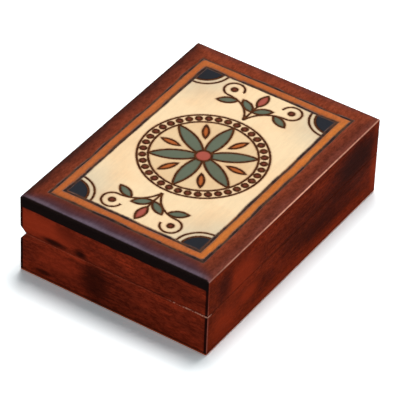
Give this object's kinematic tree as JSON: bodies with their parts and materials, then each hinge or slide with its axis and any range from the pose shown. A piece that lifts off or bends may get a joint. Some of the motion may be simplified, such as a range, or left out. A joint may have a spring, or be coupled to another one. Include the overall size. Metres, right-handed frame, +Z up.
{
  "type": "hinged wooden keepsake box",
  "caption": "Small rectangular wooden box for a rosary, with mitred walls, a thick board lid on brass butt hinges, a routed border and a burned folk rosette on the lid.",
  "frame": {"origin": "middle of the underside of the closed box, on the plane that it rests on", "axes": "+Z up through the lid, +Y along the length from the front end to the back end, +X across the width from the hinge side to the opening side"},
  "size_m": [0.09, 0.127, 0.038],
  "materials": {
    "walls": "mahogany stain under gloss lacquer",
    "bottom": "thin panel, brown stain, satin",
    "top_board": "pale wood, stained and burned, gloss lacquer",
    "hinge": "plain brass, lightly tarnished",
    "pin": "plain steel pin",
    "screws": "slotted countersunk brass screws"
  },
  "bodies": {
    "base": {"base_front_wall": "walls", "base_back_wall": "walls", "base_hinge_wall": "walls", "base_right_wall": "walls", "bottom_panel": "bottom", "hinge_front_base_leaf": "hinge", "hinge_front_pin": "pin", "hinge_front_base_screws": "screws", "hinge_back_base_leaf": "hinge", "hinge_back_pin": "pin", "hinge_back_base_screws": "screws"},
    "lid": {"lid_top_board": "top_board", "lid_front_rail": "walls", "lid_back_rail": "walls", "lid_hinge_rail": "walls", "lid_right_rail": "walls", "hinge_front_lid_leaf": "hinge", "hinge_front_lid_screws": "screws", "hinge_back_lid_leaf": "hinge", "hinge_back_lid_screws": "screws"}
  },
  "joints": [
    {"name": "lid_hinge", "type": "hinge", "parent": "base", "child": "lid", "pos_m": [-0.042, 0, 0.02007], "axis": [0, -1, 0], "range_deg": [0, 96]}
  ]
}
